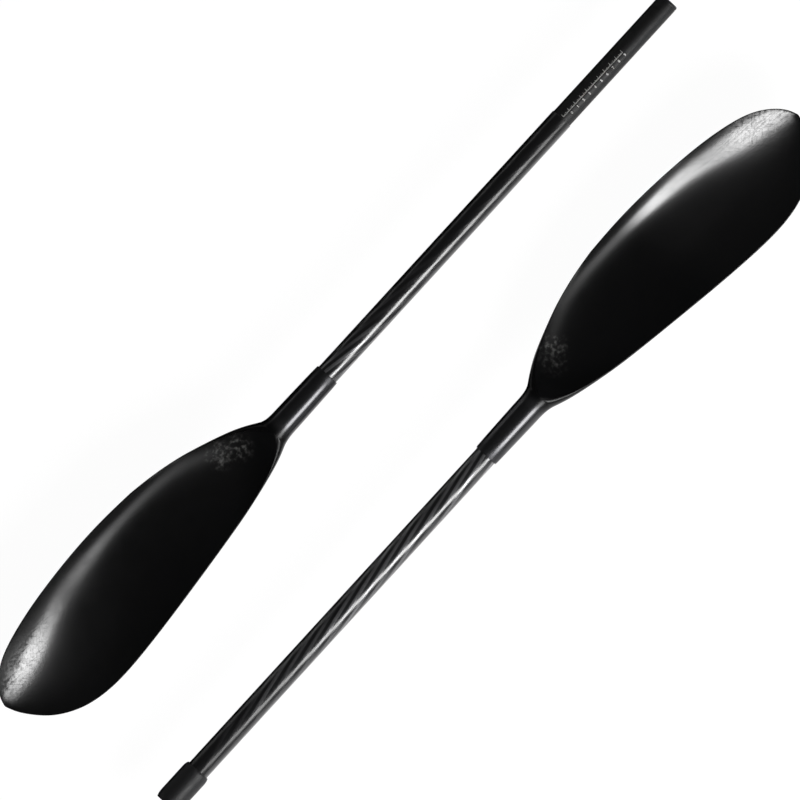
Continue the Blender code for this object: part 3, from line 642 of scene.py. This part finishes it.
def rounded(start, end, radius, drop, steps):
    """(distance, radius) points of a quarter ellipse that falls by drop from start to end."""
    turns = [math.pi / 2 * i / steps for i in range(steps + 1)]
    return [(start + (end - start) * math.sin(a), radius - drop * (1 - math.cos(a))) for a in turns]


def tube(node, name, side, edge):
    """A tube of a frame node's own size, its outer corners rounded."""
    start, end, radius, bore = measured(node, side)
    profile = rounded(start + edge, start, radius, edge, EDGE_STEPS)[::-1]
    profile += rounded(end - edge, end, radius, edge, EDGE_STEPS)
    length, width = round((end - start) / MM, 1), round(2 * radius / MM, 2)
    print(name, "is", length, "mm long and", width, "mm across")
    return turned(name, side, [*profile, (end, bore), (start, bore)])


print("A turned piece has", TURN_STEPS, "steps round its axis")

# %% [markdown]
# ## Spiral-wrapped shafts
# A paddle shaft is wound from a flat carbon tow that runs round the tube in a long spiral, and is
# then sealed under clear epoxy. Two layers give that look: a smooth coat on top, whose sharp shine
# runs along the tube, and under it bands of fibre that catch the light at their own angle, so that
# slanting streaks show beside the main shine. The spiral is read from the angle round the tube and
# the distance along it, after a Mapping node has laid the tube's own shaft line along X. Each band
# is a little brighter or darker than the next, and changes along its length.

# %% Bands of the winding
BANDS = 11
LEAD = 475 * MM
BAND_EDGE = (0.12, 0.34)
BAND_CHANGES = 9.0
BAND_APART = 7.31


def shaft_coordinates(tree, side):
    """Position in a half's own place: X along the shaft line."""
    place = add(tree, "TexCoord").outputs["Object"]
    lie = {"Location": places[side].translation, "Rotation": places[side].to_euler()}
    return add(tree, "Mapping", {"Vector": place, **lie}, vector_type="TEXTURE")


def winding(tree, local, hand):
    """The distance along the shaft, and the position across the bands, counted in bands."""
    spot = add(tree, "SeparateXYZ", [local]).outputs
    angle = add(tree, "Math", [spot["Y"], spot["Z"]], operation="ARCTAN2")
    advance = add(tree, "Math", [spot["X"], hand * BANDS / LEAD], operation="MULTIPLY")
    around = add(tree, "Math", [angle, BANDS / math.tau], operation="MULTIPLY")
    return spot["X"], add(tree, "Math", [advance, around], operation="ADD")


def band_sheen(tree, along, phase, strong, plain):
    """The bands, and how much each of them shines, most near strong and least near plain."""
    row = add(tree, "Math", [phase], operation="FRACT")
    middle = add(tree, "Math", [row, 0.5], operation="SUBTRACT")
    middle = add(tree, "Math", [middle], operation="ABSOLUTE")
    band = add(tree, "MapRange", [middle, *BAND_EDGE, 1.0, 0.0], **SMOOTH)
    number = add(tree, "Math", [phase], operation="FLOOR")
    changes = add(tree, "Math", [along, BAND_CHANGES], operation="MULTIPLY")
    mark = add(tree, "CombineXYZ", [changes, number])
    apart = add(tree, "VectorMath", [mark, (1.0, BAND_APART, 1.0)], operation="MULTIPLY")
    noise = add(tree, "TexNoise", {"Vector": apart, "Scale": 1.0, "Detail": 2.0})
    own = add(tree, "MapRange", [noise, *MIDDLE_NOISE], **SMOOTH)
    clear = add(tree, "MapRange", [along, plain, strong], **SMOOTH)
    sheen = add(tree, "Math", [band, own], operation="MULTIPLY")
    return band, add(tree, "Math", [sheen, clear], operation="MULTIPLY")


print("The winding has", BANDS, "bands and a lead of", round(LEAD / MM), "mm")

# %% [markdown]
# Within a band lie the fibres, thin streaks that follow the spiral. A real one is a hundredth of a
# millimetre thick, so a whole bundle stands for them, about a quarter of a millimetre across. They
# make the layer under the epoxy now rougher and now smoother, and the bands make it slightly wavy.

# %% Shafts
TUBE_EDGE = 0.6 * MM
CLEAR_EPOXY = {"Roughness": 0.32, "Coat Weight": 0.85, "Coat Roughness": 0.18, "Coat IOR": 1.5}
FIBRES_ALONG = 14.0
FIBRES_ACROSS = 30.0
FIBRE_ROUGHNESS = (0.27, 0.40)
BAND_METALLIC = 0.8
FIBRE_SHARE = 0.25


def wrapped_carbon(side, hand, strong, plain):
    """Clear-coated carbon with slanting bands, clear near strong and faint near plain, along X."""
    material, tree, shader = new_material(
        f"wound carbon tube under clear epoxy, {side}", "#101012", CLEAR_EPOXY)
    along, phase = winding(tree, shaft_coordinates(tree, side), hand)
    band, sheen = band_sheen(tree, along, phase, strong, plain)
    streak = add(tree, "Math", [along, FIBRES_ALONG], operation="MULTIPLY")
    thread = add(tree, "Math", [phase, FIBRES_ACROSS], operation="MULTIPLY")
    spun = add(tree, "CombineXYZ", [streak, thread])
    fibres = add(tree, "TexNoise", {"Vector": spun, "Scale": 1.0, "Detail": 3.0})

    colour = add(tree, "Mix", {0: sheen, "A": linear("#101012"), "B": linear("#8C8C8E")},
                 data_type="RGBA")
    tree.links.new(colour.outputs["Result"], shader.inputs["Base Color"])
    metallic = add(tree, "Math", [sheen, BAND_METALLIC], operation="MULTIPLY")
    tree.links.new(metallic.outputs[0], shader.inputs["Metallic"])
    rough = add(tree, "MapRange", [fibres, *MIDDLE_NOISE, *FIBRE_ROUGHNESS], **SMOOTH)
    tree.links.new(rough.outputs[0], shader.inputs["Roughness"])
    ridge = add(tree, "Math", [fibres, FIBRE_SHARE], operation="MULTIPLY")
    ridge = add(tree, "Math", [band, ridge], operation="ADD")
    under = add(tree, "Bump", {"Height": ridge, "Strength": 0.8, "Distance": 0.12 * MM})
    tree.links.new(under.outputs[0], shader.inputs["Normal"])
    over = add(tree, "Bump", {"Height": band, "Strength": 0.5, "Distance": 0.02 * MM})
    tree.links.new(over.outputs[0], shader.inputs["Coat Normal"])
    return material


shaft_looks = {
    "left": wrapped_carbon("left", 1, -0.62, -0.40),
    "right": wrapped_carbon("right", -1, 0.30, 0.05),
}
for side in sides:
    shaft = tube(f"{side}_shaft_tube", f"{side}_shaft", side, TUBE_EDGE)
    stand_in(shaft, f"{side}_shaft_tube", shaft_looks[side])

# %% [markdown]
# ## The insert
# The insert is ground to slide in the socket without play. Grinding leaves a dull, dark grey
# surface with fine lines round the tube, so its shine is broad and dim where the shaft's is narrow
# and bright. The lines could be cut as rings in the mesh, but they are far too fine for that, so a
# noise stands for them that changes every 0.4 mm along the tube and only slowly round it.

# %% Insert
GROUND_LINES = (2600.0, 60.0, 60.0)
GROUND_LINE_EDGE = (0.35, 0.7)
MOTTLE_CELLS = 170.0
GROUND_ROUGHNESS = (0.47, 0.60)
MOTTLE_SHARE = 0.5

ground, tree, shader = new_material(
    "carbon tube, centreless ground, matt", "#161617", {"Specular IOR Level": 0.5})
local = shaft_coordinates(tree, "left")
stretched = add(tree, "VectorMath", [local, GROUND_LINES], operation="MULTIPLY")
rings = add(tree, "TexNoise", {"Vector": stretched, "Scale": 1.0, "Detail": 3.0})
mottle = add(tree, "TexNoise", {"Vector": local, "Scale": MOTTLE_CELLS, "Detail": 4.0})
rough = add(tree, "MapRange", [mottle, *MIDDLE_NOISE, *GROUND_ROUGHNESS], **SMOOTH)
tree.links.new(rough.outputs[0], shader.inputs["Roughness"])
line = add(tree, "MapRange", [rings, *GROUND_LINE_EDGE], **SMOOTH)
colour = add(tree, "Mix", {0: line, "A": linear("#111112"), "B": linear("#1E1E1F")},
             data_type="RGBA")
tree.links.new(colour.outputs["Result"], shader.inputs["Base Color"])
marks = add(tree, "Math", [mottle, MOTTLE_SHARE], operation="MULTIPLY")
marks = add(tree, "Math", [rings, marks], operation="ADD")
bump = add(tree, "Bump", {"Height": marks, "Strength": 0.4, "Distance": 0.02 * MM})
tree.links.new(bump.outputs[0], shader.inputs["Normal"])

insert = tube("ferrule_insert", "insert", "left", TUBE_EDGE)
stand_in(insert, "ferrule_insert", ground)

# %% [markdown]
# A moulded plug closes the insert's end. Glass-filled nylon comes out of its mould satin, with a
# faint grain of about 1 mm that breaks up its shine. The plug has a flange with a soft corner,
# which lies on the insert's end, a spigot that goes into its bore, and a hollow that saves weight.

# %% Insert's end cap
MOULD_GRAIN = 900.0
MOULD_CLOUDS = 120.0
MOULD_ROUGHNESS = (0.46, 0.54)
CAP_FLANGE = 4.0 * MM
CAP_ROUND = 2.6 * MM
CAP_ROUND_STEPS = 6
SPIGOT_RADIUS = 11.8 * MM
SPIGOT_LEAD = 1.5 * MM
PLUG_HOLLOW = 5.9 * MM
HOLLOW_DRAFT = 0.8 * MM
HOLLOW_FLOOR = 4.8 * MM

moulded, tree, shader = new_material(
    "glass-filled nylon, injection moulded, satin black", "#1B1B1D")
place = add(tree, "TexCoord").outputs["Object"]
skin = add(tree, "TexNoise", {"Vector": place, "Scale": MOULD_GRAIN, "Detail": 3.0})
clouds = add(tree, "TexNoise", {"Vector": place, "Scale": MOULD_CLOUDS, "Detail": 2.0})
rough = add(tree, "MapRange", [clouds, *MIDDLE_NOISE, *MOULD_ROUGHNESS], **SMOOTH)
tree.links.new(rough.outputs[0], shader.inputs["Roughness"])
bump = add(tree, "Bump", {"Height": skin, "Strength": 0.35, "Distance": 0.03 * MM})
tree.links.new(bump.outputs[0], shader.inputs["Normal"])

cap_start, cap_end, cap_radius = measured("insert_end_cap", "left")[:3]
corner = rounded(cap_end - CAP_ROUND, cap_end, cap_radius, CAP_ROUND, CAP_ROUND_STEPS)[::-1]
profile = [
    (cap_end, 0.0), *corner,
    (cap_end - CAP_FLANGE, cap_radius), (cap_end - CAP_FLANGE, SPIGOT_RADIUS),
    (cap_start + SPIGOT_LEAD, SPIGOT_RADIUS), (cap_start, SPIGOT_RADIUS - SPIGOT_LEAD),
    (cap_start, PLUG_HOLLOW), (cap_end - HOLLOW_FLOOR, PLUG_HOLLOW - HOLLOW_DRAFT),
    (cap_end - HOLLOW_FLOOR, 0.0),
]
cap = turned("insert_cap", "left", profile)
stand_in(cap, "insert_end_cap", moulded)
print("The cap's flange is", round(2 * cap_radius / MM, 1), "mm across")

# %% [markdown]
# ## The printed scale
# A white scale on the insert shows how far it is pulled out of the socket: a line along the tube,
# a short tick at each tenth of a step, a longer one at each half and a long one at each whole
# step, with a plain number beside it. A painted texture would blur, so each mark is a mesh of its
# own, drawn flat above the tube and cut fine enough to bend. The ticks and the line come first.
# All sizes across the tube count from the middle of its top.

# %% Line and ticks of the scale
SCALE_STEP = 10.46 * MM
SCALE_FIRST = -178.5 * MM
SCALE_NUMBERS = "0123456789"
SCALE_LINE_START = -189.2 * MM
SCALE_ACROSS = -0.4 * MM
LINE_WIDTH = 0.36 * MM
LINE_CUTS = (40, 1)
TICKS = {
    "long": (3.9 * MM, 0.45 * MM),
    "half": (2.2 * MM, 0.28 * MM),
    "short": (1.3 * MM, 0.2 * MM),
}
TICK_CUTS = (1, 10)
DRAWING_HEIGHT = 0.03


def flat_mark(x, y, width, height, cuts):
    """A flat rectangle with its lower left corner at x, y, cut into strips both ways."""
    bpy.ops.mesh.primitive_grid_add(x_subdivisions=cuts[0], y_subdivisions=cuts[1], size=1.0)
    mark = bpy.context.object
    middle = Matrix.Translation((x + width / 2, y + height / 2, DRAWING_HEIGHT))
    mark.data.transform(middle @ Matrix.Diagonal((width, height, 1.0, 1.0)))
    return mark


last = SCALE_FIRST + SCALE_STEP * (len(SCALE_NUMBERS) - 1)
length = last - SCALE_LINE_START
line_low = SCALE_ACROSS - LINE_WIDTH / 2
drawn = [flat_mark(SCALE_LINE_START, line_low, length, LINE_WIDTH, LINE_CUTS)]
for tenth in range(-10, 10 * (len(SCALE_NUMBERS) - 1) + 1):
    kind = "long" if tenth % 10 == 0 else "half" if tenth % 5 == 0 else "short"
    height, width = TICKS[kind]
    x = SCALE_FIRST + SCALE_STEP * tenth / 10
    drawn.append(flat_mark(x - width / 2, SCALE_ACROSS, width, height, TICK_CUTS))
print("The scale has", len(drawn) - 1, "ticks on a line of", round(length / MM, 1), "mm")

# %% [markdown]
# The numbers are text objects that are made meshes. A little offset gives the strokes the weight of
# print, and a few cuts give their big flat triangles enough points to follow the tube's round.

# %% Numbers of the scale
NUMBER_SIZE = 4.4 * MM
NUMBER_ACROSS = -4.5 * MM
NUMBER_WEIGHT = 0.17 * MM

for step, number in enumerate(SCALE_NUMBERS):
    bpy.ops.object.text_add(location=(0.0, 0.0, 0.0))
    text = bpy.context.object
    text.data.body = number
    text.data.size = NUMBER_SIZE
    text.data.align_x = "CENTER"
    text.data.align_y = "CENTER"
    text.data.offset = NUMBER_WEIGHT
    text.data.resolution_u = 3
    bpy.ops.object.convert(target="MESH")
    number_mesh = bpy.context.object
    bpy.ops.object.mode_set(mode="EDIT")
    bpy.ops.mesh.select_all(action="SELECT")
    bpy.ops.mesh.quads_convert_to_tris()
    bpy.ops.mesh.subdivide(number_cuts=2)
    bpy.ops.object.mode_set(mode="OBJECT")
    middle = (SCALE_FIRST + SCALE_STEP * step, NUMBER_ACROSS, DRAWING_HEIGHT)
    number_mesh.data.transform(Matrix.Translation(middle))
    drawn.append(number_mesh)
print("The scale has", len(SCALE_NUMBERS), "numbers,", round(SCALE_STEP / MM, 2), "mm apart")

# %% [markdown]
# The joined drawing is laid on the tube by a Shrinkwrap modifier that moves it straight down, so
# that it keeps its place seen from above. A thin Solidify gives the ink its body and seats it in
# the surface. Sliding in and out of the socket has rubbed the print, so here and there, in spots
# of about 2 mm, its white is thinner and greyer.

# %% Ink of the scale
INK_LIFT = 0.05 * MM
INK_BODY = 0.07 * MM
INK_SPOTS = 420.0
INK_THIN = (0.48, 0.72)

bpy.ops.object.select_all(action="DESELECT")
for mark in drawn:
    mark.select_set(True)
bpy.context.view_layer.objects.active = drawn[0]
bpy.ops.object.join()
scale = bpy.context.object
scale.name = "insert_scale"
scale.data.transform(places["left"])
laid = scale.modifiers.new("Laid on the tube", "SHRINKWRAP")
laid.target = insert
laid.wrap_method = "PROJECT"
laid.use_project_z = True
laid.use_negative_direction = True
laid.use_positive_direction = False
laid.offset = INK_LIFT
body = scale.modifiers.new("Body", "SOLIDIFY")
body.thickness = INK_BODY
body.offset = -1.0
apply_modifiers(scale)

ink, tree, shader = new_material("screen-printed epoxy ink, white", "#DADAD8", {"Roughness": 0.55})
place = add(tree, "TexCoord").outputs["Object"]
noise = add(tree, "TexNoise", {"Vector": place, "Scale": INK_SPOTS, "Detail": 2.0})
thin = add(tree, "MapRange", [noise, *INK_THIN], **SMOOTH)
faded = add(tree, "Mix", {0: thin, "A": linear("#F2F2F0"), "B": linear("#A6A6A4")},
            data_type="RGBA")
tree.links.new(faded.outputs["Result"], shader.inputs["Base Color"])
scale.data.materials.append(ink)
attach(scale, body_of["ferrule_insert"])
print("The ink has", len(scale.data.polygons), "faces")

# %% [markdown]
# ## The twist lock
# Only the collar shows. It is moulded in the same black nylon as the cap, with a long soft round at
# its mouth, where the insert goes in, and a shorter one where it meets the shaft. Inside it a lip
# holds the seal at its rear end and a taper squeezes the collet at its mouth. A Bevel modifier
# gives equal rounds only, so the collar is turned from its own profile too.

# %% Collar
REAR_ROUND = 9.0 * MM
REAR_ROUND_STEPS = 12
MOUTH_ROUND = 12.0 * MM
MOUTH_ROUND_STEPS = 14
REAR_RIM = 14.9 * MM
MOUTH_RIM = 14.7 * MM
LIP_BORE = 14.3 * MM
THREAD_BORE = 16.4 * MM
REAR_LIP = 5.0 * MM
TAPER = (
    (0.0, 16.4 * MM),
    (-4.3 * MM, 15.4 * MM),
    (-14.6 * MM, 14.4 * MM),
    (-14.6 * MM, 13.5 * MM),
)

mouth, rear, collar_radius, entry = measured("lock_collar", "right")
mouth_drop, rear_drop = collar_radius - MOUTH_RIM, collar_radius - REAR_RIM
profile = [
    *rounded(mouth + MOUTH_ROUND, mouth, collar_radius, mouth_drop, MOUTH_ROUND_STEPS)[::-1],
    *rounded(rear - REAR_ROUND, rear, collar_radius, rear_drop, REAR_ROUND_STEPS),
    (rear, LIP_BORE), (rear - REAR_LIP, LIP_BORE), (rear - REAR_LIP, THREAD_BORE),
    *TAPER, (mouth, entry),
]
collar = turned("collar", "right", profile)
stand_in(collar, "lock_collar", moulded)
length, width = round((rear - mouth) / MM, 1), round(2 * collar_radius / MM, 1)
print("The collar is", length, "mm long and", width, "mm across")

# %% [markdown]
# A rubber ring closes the gap between the collar and the shaft. It is a plain torus of the seal's
# own size, turned to stand on the shaft line. Moulded rubber is dull, with a fine grain of less
# than a millimetre.

# %% Seal
RUBBER_GRAIN = 1400.0
RUBBER_CLOUDS = 300.0
RUBBER_ROUGHNESS = (0.68, 0.85)

rubber, tree, shader = new_material(
    "nitrile rubber, moulded, black", "#141414", {"Roughness": 0.75})
place = add(tree, "TexCoord").outputs["Object"]
skin = add(tree, "TexNoise", {"Vector": place, "Scale": RUBBER_GRAIN, "Detail": 4.0})
bump = add(tree, "Bump", {"Height": skin, "Strength": 0.5, "Distance": 0.03 * MM})
tree.links.new(bump.outputs[0], shader.inputs["Normal"])
clouds = add(tree, "TexNoise", {"Vector": place, "Scale": RUBBER_CLOUDS, "Detail": 2.0})
rough = add(tree, "MapRange", [clouds, *MIDDLE_NOISE, *RUBBER_ROUGHNESS], **SMOOTH)
tree.links.new(rough.outputs[0], shader.inputs["Roughness"])

start, end, outer, inner = measured("collar_seal", "right")
bpy.ops.mesh.primitive_torus_add(
    major_radius=(outer + inner) / 2, minor_radius=(outer - inner) / 2,
    major_segments=96, minor_segments=16)
seal = bpy.context.object
seal.name = "seal_ring"
middle = Matrix.Translation(((start + end) / 2, 0.0, 0.0))
seal.data.transform(places["right"] @ middle @ Matrix.Rotation(math.pi / 2, 4, "Y"))
bpy.ops.object.shade_smooth()
stand_in(seal, "collar_seal", rubber)
print("The seal is", round(2 * outer / MM, 1), "mm across")

# %% [markdown]
# ## Hidden pieces
# The collet, the threaded sleeve, the foam cores and the bungs stay inside. They keep the frame's
# own shapes, because nothing shows their edges, but each still gets the material it is made of, so
# that the paddle can be taken apart or cut open and look right. Acetal is a slightly glossy, milky
# plastic with hardly any pattern. The foam shows its cells where it is cut, which a Voronoi
# texture gives. Real cells are some tenths of a millimetre wide. These are 1.4 mm, as
# coarse as they need to be to show.

# %% Materials inside
ACETAL_CLOUDS = 150.0
ACETAL_ROUGHNESS = (0.32, 0.44)
ACETAL_TINT = 60.0
FOAM_CELLS = 700.0
FOAM_WALL = (0.1, 0.6)

acetal, tree, shader = new_material(
    "acetal, injection moulded, natural white", "#D6D5CF", {"Roughness": 0.38})
place = add(tree, "TexCoord").outputs["Object"]
clouds = add(tree, "TexNoise", {"Vector": place, "Scale": ACETAL_CLOUDS, "Detail": 2.0})
rough = add(tree, "MapRange", [clouds, *MIDDLE_NOISE, *ACETAL_ROUGHNESS], **SMOOTH)
tree.links.new(rough.outputs[0], shader.inputs["Roughness"])
clouds = add(tree, "TexNoise", {"Vector": place, "Scale": ACETAL_TINT, "Detail": 2.0})
tint = add(tree, "Mix", {0: clouds, "A": linear("#D9D8D2"), "B": linear("#CFCEC6")},
           data_type="RGBA")
tree.links.new(tint.outputs["Result"], shader.inputs["Base Color"])

foam, tree, shader = new_material(
    "closed-cell foam, machined, pale", "#CFC6B2", {"Roughness": 0.95})
place = add(tree, "TexCoord").outputs["Object"]
cells = add(tree, "TexVoronoi", {"Vector": place, "Scale": FOAM_CELLS}).outputs["Distance"]
wall_share = add(tree, "MapRange", [cells, *FOAM_WALL], **SMOOTH)
tint = add(tree, "Mix", {0: wall_share, "A": linear("#B4AA95"), "B": linear("#D8D0BE")},
           data_type="RGBA")
tree.links.new(tint.outputs["Result"], shader.inputs["Base Color"])
bump = add(tree, "Bump", {"Height": cells, "Strength": 0.6, "Distance": 0.2 * MM})
tree.links.new(bump.outputs[0], shader.inputs["Normal"])
print("Inside are", acetal.name, "and", foam.name)

# %% [markdown]
# Every node of the frame takes its finish from its material slot in the record, also those that
# another piece stands for.

# %% Finishes of the frame's nodes
finishes = {
    "shaft_carbon": shaft_looks["left"],
    "insert_carbon": ground,
    "cap_plastic": moulded,
    "collar_plastic": moulded,
    "collet_plastic": acetal,
    "seal_rubber": rubber,
    "foam": foam,
    "blade_face": laminate,
    "blade_back": laminate,
}
for name, node in frame["nodes"].items():
    node.data.materials.clear()
    node.data.materials.append(finishes[slot_of[name]])
    print(name, "wears", finishes[slot_of[name]].name)

# %% [markdown]
# ## The last step
# The view layer is brought up to date, so that every piece's place is current. The new pieces may
# not stand outside the box of the frame's own pieces.

# %% Finish
bpy.context.view_layer.update()
